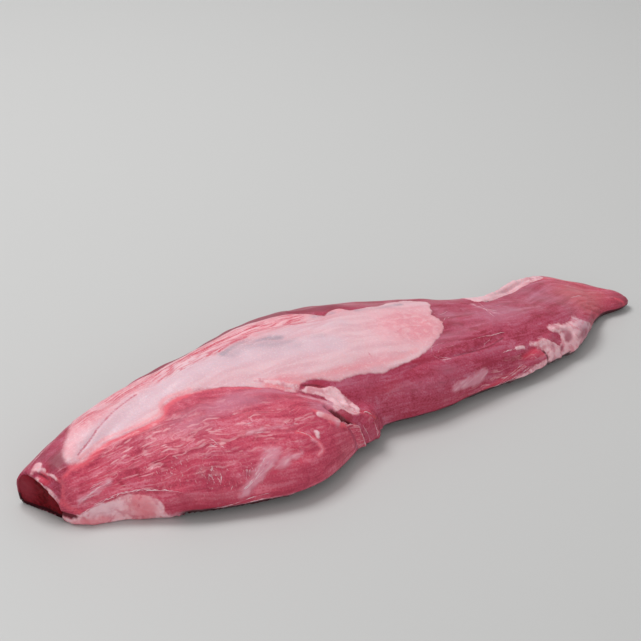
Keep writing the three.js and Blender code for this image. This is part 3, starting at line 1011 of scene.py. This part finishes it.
# %% A helper that lays a wash
def wash(under, where, low, high, colour, strength=1.0, within=None, broken=0.0):
    """Lays a colour over another where a pattern or mark goes from low to high."""
    value = seen[where]
    if broken:
        value = add(
            beef, "ShaderNodeMath", {"operation": "MULTIPLY_ADD"}, _0=seen["grit"], _1=broken, _2=value
        ).outputs[0]
        low, high = low + broken / 2, high + broken / 2
    share = add(
        beef,
        "ShaderNodeMapRange",
        {"interpolation_type": "SMOOTHSTEP"},
        Value=value,
        From_Min=low,
        From_Max=high,
        To_Max=strength,
    ).outputs["Result"]
    if within:
        share = add(beef, "ShaderNodeMath", {"operation": "MULTIPLY"}, _0=share, _1=seen[within]).outputs[0]
    over = linear(colour) if isinstance(colour, str) else colour
    return add(beef, "ShaderNodeMix", {"data_type": "RGBA"}, _0=share, _6=under, _7=over).outputs[2]


def paint(under, washes):
    """Lays a list of washes, one over the other. Each row holds what a wash takes, in turn."""
    for row in washes:
        under = wash(under, *row)
    return under


# %% [markdown]
# The red of muscle is a mix of lighter and darker threads, bundles and blotches. Their patterns
# are added up to one grain, and the grain picks the shade. The rear is more purple than the side
# muscle, which holds more fat between its fibres.

# %% Add up the grain and paint the muscle
GRAIN = {"threads": 0.3, "bundles": 0.8, "blotches": 0.5, "specks": 0.5}

grain = 0.5 - sum(GRAIN.values()) / 2
for name, weight in GRAIN.items():
    grain = add(
        beef, "ShaderNodeMath", {"operation": "MULTIPLY_ADD"}, _0=seen[name], _1=weight, _2=grain
    ).outputs[0]
seen["grain"] = grain

side_red = paint(linear("#b43852"), [
    ("grain", 0.30, 0.50, "#cc4c65"),
    ("grain", 0.50, 0.72, "#db7287"),
])
rear_red = paint(linear("#9e2c43"), [
    ("grain", 0.32, 0.50, "#b64560"),
    ("grain", 0.50, 0.74, "#c36a82"),
])
red = wash(rear_red, "side", 0, 1, side_red)

red = paint(red, [
    ("clouds", 0.46, 0.62, "#a02c4c", 0.25),
    # pale lilac haze, partly painted sheen
    ("haze", 0.05, 0.9, "#c67f96", 0.6),
    # darker red and painted shade in folds, creases and low sides
    ("deep", 0.1, 0.9, "#a62842", 0.7),
    ("dusk", 0.1, 0.9, "#8e4553", 0.8),
    ("fresh", 0.1, 0.9, "#dc4058", 0.65),
    ("tan", 0.1, 0.9, "#d27478", 0.5),
    ("rumpled", 0.2, 0.9, "#a82c49", 0.35),
    ("redden", 0.2, 0.9, "#c8384f", 0.6),
    ("coral", -2.0, 1.6, "#ee6273", 0.8, None, 2.4),
    # painted shade in the slits and creases
    ("slit", -1.0, 0.6, "#5c0c1c", 0.9),
])

# %% [markdown]
# Marbling is fat between the fibres: pale dashes about 12 mm long and 2 mm thick, soft flakes and longer
# threads. A thread is where a slow noise passes through its middle value, so the distance to that value is
# the pattern. Film is a pale veil with streaks. In the wrinkled parts, pale specks paint the glints of light
# on the wet surface.

# %% Lay the marbling, film and painted glints
from_middle = add(beef, "ShaderNodeMath", {"operation": "SUBTRACT"}, _0=seen["striae"], _1=0.5)
seen["striae"] = add(beef, "ShaderNodeMath", {"operation": "ABSOLUTE"}, _0=from_middle.outputs[0]).outputs[0]

red = paint(red, [
    ("flakes", 0.40, 0.22, "#e8909f", 0.45, "marbled"),
    ("striae", 0.040, 0.006, "#f0a9b2", 0.6, "marbled"),
    ("dashes", 0.36, 0.20, "#f4b8c0", 0.8, "marbled"),
    # painted highlights: the glints of the wet, wrinkled surface
    ("glints", 0.62, 0.71, "#f6d0d6", 0.6, "rumpled"),
    ("veiled", 0, 1, "#dd99aa", 0.75),
    ("veil", 0.50, 0.68, "#efc4ce", 0.4, "veiled"),
])

# %% [markdown]
# Silverskin is collagen, pearly and almost white, faintly streaked along. Pinker where fat lies under it,
# bluish where it is thin over dark muscle, with red threads where it was pulled. The pale lilac band along
# its top is partly its colour and partly a painted sheen.

# %% Paint the silverskin
pearl = paint(linear("#e3b0ba"), [
    ("sheets", 0.38, 0.62, "#ecc1c9"),
    ("blush", 0.05, 0.9, "#ea919e", 0.85),
    ("lumps", 0.46, 0.66, "#f6bfc6", 0.6, "blush"),
    # lilac tint, partly painted sheen
    ("lilac", 0.05, 0.9, "#e0bec9", 0.85),
    ("seam_pink", 0.1, 0.9, "#f28a94", 0.7),
    ("bluish", 0.0, 1.0, "#9d8e9d", 0.7),
    ("strands", 0.44, 0.34, "#f8ccd2", 0.6, "streaky"),
    ("strands", 0.47, 0.58, "#d0445b", 0.9, "streaky"),
    ("redden", 0.2, 0.9, "#d2465e", 0.8),
    ("specks", 0.54, 0.70, "#f8dce1", 0.3),
    # painted shade along the crease of the fold, a darker pink line
    ("fold", 1.3, 0.1, "#c5566e", 0.8, None, 1.2),
])

# %% [markdown]
# Fat is soft and pink, with paler lumps. The cut face shows dark muscle end on.

# %% Paint the fat and the cut face and put all together
fat_pink = paint(linear("#dd94a0"), [
    ("lumps", 0.36, 0.60, "#f0bcc5"),
    ("grit", 0.52, 0.68, "#f6d2d6", 0.5),
    ("salmon", 0.1, 0.8, "#e07a86", 0.8),
    ("mauve", 0.1, 0.8, "#c292a4", 0.6),
    ("blotches", 0.60, 0.68, "#c8566c", 0.5),
    ("milky", 0.1, 0.8, "#f0c3cb", 0.75),
    ("island", 0.2, 0.8, "#a34c60", 0.8),
])

cut_red = paint(linear("#580009"), [
    ("grit", 0.38, 0.62, "#760c18"),
    ("blotches", 0.45, 0.65, "#841724", 0.6),
    ("rosy", 0.1, 0.9, "#9a3040", 0.7),
])

colour = paint(red, [
    ("silverskin", -0.9, 0.8, pearl, 1.0, None, 0.5),
    ("fat", -0.8, 0.8, fat_pink, 1.0, None, 1.6),
    ("cut", -0.4, 0.6, cut_red, 1.0, None, 1.0),
    # the painted shade under the foot
    ("sole", 0.1, 0.9, "#2c0a12", 0.9),
])

# %% [markdown]
# The gloss is that of a thin film of juice over a duller body: a clear coat with water's index over
# a soft sheen. The fine grain of the threads breaks it up, so that it never looks like plastic.

# %% Give it the gloss and the fine grain of raw beef
JUICE, SHEEN = 0.22, 0.4  # weight of the coat and level of the body's own sheen, where it is wet
THREADS_STAND = 0.8  # height of the threads, as a share of that of the grit

shine = add(beef, "ShaderNodeMath", {"operation": "SUBTRACT"}, _0=1.0, _1=seen["dry"]).outputs[0]
coated, glossy = (
    add(beef, "ShaderNodeMath", {"operation": "MULTIPLY"}, _0=shine, _1=most).outputs[0]
    for most in (JUICE, SHEEN)
)
height = add(
    beef,
    "ShaderNodeMath",
    {"operation": "MULTIPLY_ADD"},
    _0=seen["threads"],
    _1=THREADS_STAND,
    _2=seen["grit"],
)
ridges = add(beef, "ShaderNodeBump", Strength=0.4, Distance=0.0006, Height=height.outputs[0])
body = add(
    beef,
    "ShaderNodeBsdfPrincipled",
    Base_Color=colour,
    Roughness=0.42,
    IOR=1.38,
    Subsurface_Weight=0.15,
    Subsurface_Radius=(1.0, 0.35, 0.25),
    Subsurface_Scale=0.002,
    Coat_Weight=coated,
    Specular_IOR_Level=glossy,
    Coat_Roughness=0.18,
    Coat_IOR=1.34,
    Normal=ridges.outputs["Normal"],
    Coat_Normal=ridges.outputs["Normal"],
)
add(beef, "ShaderNodeOutputMaterial", Surface=body.outputs["BSDF"])

flesh.data.materials.clear()
flesh.data.materials.append(beef)
print("material:", beef.name, "with", len(beef.node_tree.nodes), "nodes")

# %% [markdown]
# ## Loose sinew and painted glints
# Fine sinew lies on the flesh: single threads and the torn rims of film. Short pale strands are also laid
# where the surface is wet, as painted highlights that stand for its glints. They are thinner than the net of
# the flesh can carry, so each is a curve of its own. Its points are set on the surface, and its thickness
# wavers so that it dips in and out.


# %% Helpers that lay a path on the flesh
def spaced(path, count):
    """Points at even distances along a smooth path."""
    curve = smooth_path(path)
    run = np.concatenate([[0], np.cumsum(np.linalg.norm(np.diff(curve, axis=0), axis=1))])
    at = np.linspace(0, run[-1], count)
    return np.column_stack([np.interp(at, run, axis) for axis in curve.T])


def laid(point, lift):
    """The place on the flesh nearest to a point in millimetres, lifted off it, in metres."""
    _, spot, normal, _ = flesh.closest_point_on_mesh(Vector(point) * MM)
    return spot + normal * lift * MM


# %% Lay the threads
THREADS = [
    # radius, path
    (0.42, [(-260, -25, 10), (-248, -29, 16), (-233, -33, 20), (-222, -39, 22), (-212, -47, 23),
            (-203, -54, 23), (-196, -59, 21)]),
    # these crossing strands are painted highlights, glints on the wet side muscle
    (0.30, [(-163, -41, 45), (-161, -45, 44), (-160, -48, 42), (-157, -53, 40)]),
    (0.26, [(-165, -48, 42), (-161, -47, 43), (-157, -46, 44)]),
    (0.28, [(-166, -43, 44), (-164, -46, 43), (-163, -50, 41)]),
    (0.34, [(-137, -43, 47), (-130, -44, 47), (-123, -46, 47)]),
    (0.30, [(-157, -36, 47), (-148, -39, 47)]), (0.28, [(-134, -52, 44), (-122, -56, 43)]),
    (0.36, [(-103, -63, 40), (-99, -66, 39), (-96, -69, 37), (-94, -74, 35)]),
    (0.40, [(-107, -53, 45), (-105, -58, 43), (-101, -58, 43), (-98, -59, 42)]),
    (0.38, [(-44, -55, 31), (-40, -57, 30), (-35, -58, 29), (-30, -60, 25)]),
    (0.28, [(-44, -64, 25), (-42, -67, 20), (-40, -68, 14), (-39, -68, 8)]),
    (0.26, [(-33, -63, 24), (-32, -66, 18), (-31, -66, 10)]),
    (0.50, [(-142, -86, 13), (-141, -86, 16), (-140, -86, 18)]),
    # these six short strands are painted highlights, glints in the wet wrinkled part
    (0.34, [(-168, -65, 29), (-170, -67, 26), (-172, -69, 23)]),
    (0.32, [(-149, -69, 32), (-151, -71, 29), (-153, -74, 26), (-154, -76, 23)]),
    (0.30, [(-147, -71, 31), (-150, -73, 28), (-152, -75, 25)]),
    (0.26, [(-174, -61, 30), (-175, -64, 27), (-176, -67, 24)]),
    (0.22, [(-175, -59, 31), (-177, -62, 28), (-178, -65, 26)]),
    (0.26, [(-163, -72, 23), (-165, -73, 21), (-167, -74, 19)]),
    (0.30, [(-160, -78, 18), (-152, -77, 23), (-144, -75, 29), (-134, -71, 35)]),
    (0.24, [(-157, -78, 19), (-149, -78, 24), (-141, -76, 28), (-133, -74, 33)]),
    (0.34, [(-179, -72, 8), (-170, -75, 9), (-158, -80, 12), (-148, -84, 14), (-138, -87, 14)]),
    (0.40, [(-180, -71, 5), (-166, -76, 6), (-156, -80, 8), (-146, -84, 9), (-135, -86, 8)]),
    (0.26, [(-257, -22, 20), (-251, -23, 22), (-245, -23, 24), (-238, -24, 26), (-232, -25, 28)]),
    (0.24, [(-259, -22, 19), (-252, -24, 20), (-244, -25, 22)]),
    (0.22, [(-251, -20, 24), (-243, -21, 26), (-236, -22, 29)]),
    (0.55, [(-277, 8, 28), (-275, 3, 26), (-272, -3, 22), (-270, -8, 18), (-268.5, -12, 12)]),
    (0.26, [(-278, 19, 30), (-271, 23, 34), (-262, 25, 38), (-251, 26, 42)]),
    (0.22, [(86, -34, 40), (100, -34, 39), (107, -35, 38), (123, -35, 36)]),
    (0.22, [(92, -43, 36), (98, -40, 37), (104, -38, 37)]),
    (0.32, [(104, -51, 30), (112, -50, 29), (121, -50, 28)]),
    (0.20, [(46, -35, 43), (50, -30, 44), (57, -29, 44), (68, -30, 43)]),
    (0.20, [(45, -36, 42), (47, -41, 41), (54, -44, 39), (62, -44, 38)]),
    (0.18, [(50, -38, 42), (54, -34, 43), (62, -34, 43), (70, -36, 42)]),
    (0.20, [(76, -2, 46), (82, -4, 45), (88, 0, 44), (96, -2, 43)]),
    (0.20, [(83, 12, 45), (90, 8, 44), (98, 10, 43)]),
    (0.24, [(128, 14, 39), (129, 0, 39), (127, -15, 39)]),
    (0.20, [(135, 15, 38), (132, -1, 39), (139, -8, 38)]),
    (0.30, [(88, -61, 7), (100, -61, 10), (112, -60, 13), (126, -59, 15)]),
    (0.34, [(92, -61, 5), (104, -61, 8), (118, -60, 11), (132, -59, 13)]),
    (0.24, [(96, -60, 11), (108, -59, 14), (122, -57, 17)]),
    (0.22, [(133, -55, 21), (137, -56, 20), (136, -57, 18), (133, -57, 19)]),
    (0.24, [(220, -6, 24), (230, -5, 22), (240, -6, 19)]),
    (0.24, [(-150, 70, 40), (-120, 76, 38), (-90, 80, 40)]), (0.2, [(40, 72, 30), (70, 68, 30)]),
]
THREAD_STEP = 0.8  # millimetres between the points of a thread
STRANDS, SPREAD = 3, 0.5  # each is frayed into strands, this many millimetres apart
SHORTER = 0.35  # the most that a strand lacks at each end, as a share of the thread
THINNER = 0.7  # thickness of the strands beside the first
TAPER = 4  # points over which an end thins out
WAVER = 3.5  # millimetres along a thread for one wave of its thickness
SUNK = 0.25  # how deep its middle lies in the flesh, as a share of its radius
chance = np.random.default_rng(5)

cords = bpy.data.curves.new("sinew_and_glint_threads", "CURVE")
cords.dimensions = "3D"
cords.bevel_depth, cords.bevel_resolution, cords.use_fill_caps = MM, 1, True
for number, (radius, path) in enumerate(THREADS):
    length = np.linalg.norm(np.diff(smooth_path(path), axis=0), axis=1).sum()
    count = max(9, round(length / THREAD_STEP))
    for strand in range(STRANDS):
        first = int(chance.uniform(0, SHORTER) * count) if strand else 0
        last = int(chance.uniform(1 - SHORTER, 1) * count) if strand else count
        stations = spaced(path, count)[first:last]
        aside = chance.normal(0, SPREAD, 3) if strand else np.zeros(3)
        spline = cords.splines.new("POLY")
        spline.points.add(len(stations) - 1)
        for i, (point, station) in enumerate(zip(spline.points, stations)):
            taper = min(1, (i + 1) / TAPER, (len(stations) - i) / TAPER)
            wavers = noise.noise((length + i * THREAD_STEP / WAVER, number * 7.7, strand * 3.1))
            point.radius = radius * taper * (0.6 + 0.7 * wavers) * (THINNER if strand else 1)
            point.co = (*laid(station + aside + 0.6 * wavers, -SUNK * radius), 1)
threads = bpy.data.objects.new("sinew_and_glint_threads", cords)
bpy.context.scene.collection.objects.link(threads)
bpy.ops.object.select_all(action="DESELECT")
bpy.context.view_layer.objects.active = threads
threads.select_set(True)
bpy.ops.object.convert(target="MESH")
bpy.ops.object.shade_smooth()
print("threads:", len(THREADS), "with", len(threads.data.polygons), "faces")

# %% [markdown]
# Sinew is collagen, as the silverskin is: pale, wet and a little see-through. Each thread is whiter where it
# lies free and pinker where the red shows through it. The strands that stand for glints take the same paint,
# so their paleness is a painted highlight.

# %% Paint the threads
sinew_and_glints = new_material("sinew_and_painted_glints")
spots = add(sinew_and_glints, "ShaderNodeTexCoord").outputs["Object"]
patches = add(sinew_and_glints, "ShaderNodeTexNoise", Vector=spots, Scale=1 / 0.006, Detail=2.0).outputs["Fac"]
freely = add(
    sinew_and_glints,
    "ShaderNodeMapRange",
    {"interpolation_type": "SMOOTHSTEP"},
    Value=patches,
    From_Min=0.36,
    From_Max=0.60,
).outputs["Result"]
pale = add(
    sinew_and_glints,
    "ShaderNodeMix",
    {"data_type": "RGBA"},
    _0=freely,
    _6=linear("#cf6c82"),
    _7=linear("#f2c6ce"),
).outputs[2]
swells = add(sinew_and_glints, "ShaderNodeBump", Strength=0.3, Distance=0.0004, Height=patches).outputs["Normal"]
cord = add(
    sinew_and_glints,
    "ShaderNodeBsdfPrincipled",
    Base_Color=pale,
    Roughness=0.35,
    IOR=1.38,
    Subsurface_Weight=0.2,
    Subsurface_Radius=(1.0, 0.5, 0.4),
    Subsurface_Scale=0.001,
    Normal=swells,
)
add(sinew_and_glints, "ShaderNodeOutputMaterial", Surface=cord.outputs["BSDF"])
threads.data.materials.append(sinew_and_glints)
print("material:", sinew_and_glints.name)

# %% [markdown]
# ## The flap
# At its rear end the side muscle runs out in a thin torn flap that hangs over the fold behind it.
# It is a small sheet between the line where it is still fast and its free edge. A grid is added,
# and its points are set between the two lines, rising from the flesh to the free edge.

# %% Model the flap
FLAP_ROOT = [
    (-68, -64, 34), (-63, -68, 30), (-60, -71, 25), (-59, -73, 20), (-58, -74, 14), (-54, -73, 6),
]
FLAP_EDGE = [
    (-60, -65, 33), (-54, -66, 29.5), (-49, -66, 25), (-48, -68, 20), (-46, -68, 15), (-43, -69, 8),
]
ALONG, ACROSS = 30, 9  # faces of the grid
ROOT_LIFT, EDGE_LIFT = -1.3, 1.4  # millimetres off the flesh
RAGGED, RUFFLED = 0.14, 0.5  # how torn the edge is, as a share, and how wavy the sheet, in millimetres
FLAP_THICK = 0.8

bpy.ops.object.select_all(action="DESELECT")
bpy.ops.mesh.primitive_grid_add(x_subdivisions=ALONG, y_subdivisions=ACROSS, size=2)
flap = bpy.context.object
flap.name = "flap"
roots, edges = spaced(FLAP_ROOT, ALONG + 1), spaced(FLAP_EDGE, ALONG + 1)
along, across = (read("co", flap.data.vertices)[:, :2].T + 1) / 2
for point, t, out in zip(flap.data.vertices, along, across):
    at = round(t * ALONG)
    reach = out * (1 + RAGGED * noise.noise((t * 9, 0, 3)) * out)
    ruffle = RUFFLED * noise.noise((t * 6, out * 2, 8))
    lift = ROOT_LIFT + (EDGE_LIFT - ROOT_LIFT) * out + ruffle
    point.co = laid(roots[at] + (edges[at] - roots[at]) * reach, lift)
mark("free_edge", across, flap)

bpy.ops.object.mode_set(mode="EDIT")
bpy.ops.mesh.select_all(action="SELECT")
bpy.ops.mesh.normals_make_consistent(inside=False)
bpy.ops.object.mode_set(mode="OBJECT")
thick = flap.modifiers.new("thick", "SOLIDIFY")
thick.thickness, thick.offset = FLAP_THICK * MM, 0
soft = flap.modifiers.new("soft", "SUBSURF")
soft.levels = soft.render_levels = 1
for modifier in ("thick", "soft"):
    bpy.ops.object.modifier_apply(modifier=modifier)
bpy.ops.object.shade_smooth()
print("flap:", len(flap.data.polygons), "faces")

# %% [markdown]
# The flap is muscle and goes on where the side muscle ends, so it takes the same beef and the same
# fibre coordinates. Only its free edge is pale, where the membrane shows.

# %% Finish the flap
on_flap = read("co", flap.data.vertices) / MM
free = np.empty(len(on_flap))
flap.data.attributes["free_edge"].data.foreach_get("value", free)
mark("fibre", fibre_places(SIDE_LINE, on_flap), flap)
mark("side", np.ones(len(on_flap)), flap)
mark("marbled", np.full(len(on_flap), 0.5), flap)
FLAP_WIDTH, PALE_FROM = 12, 0.93  # millimetres, and share of it at which the pale edge begins
mark("fat", FLAP_WIDTH * (free - PALE_FROM) + rough(on_flap, 2.5), flap)
for name in ("silverskin", "coral", "slit", "cut"):
    mark(name, np.full(len(on_flap), float(OUTSIDE)), flap)
flap.data.materials.clear()
flap.data.materials.append(beef)
print("flap: marked", len(on_flap), "points")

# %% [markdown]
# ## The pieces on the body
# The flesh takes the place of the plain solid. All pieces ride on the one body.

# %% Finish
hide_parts("tenderloin")
for piece in (flesh, threads, flap):
    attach(piece, "root")
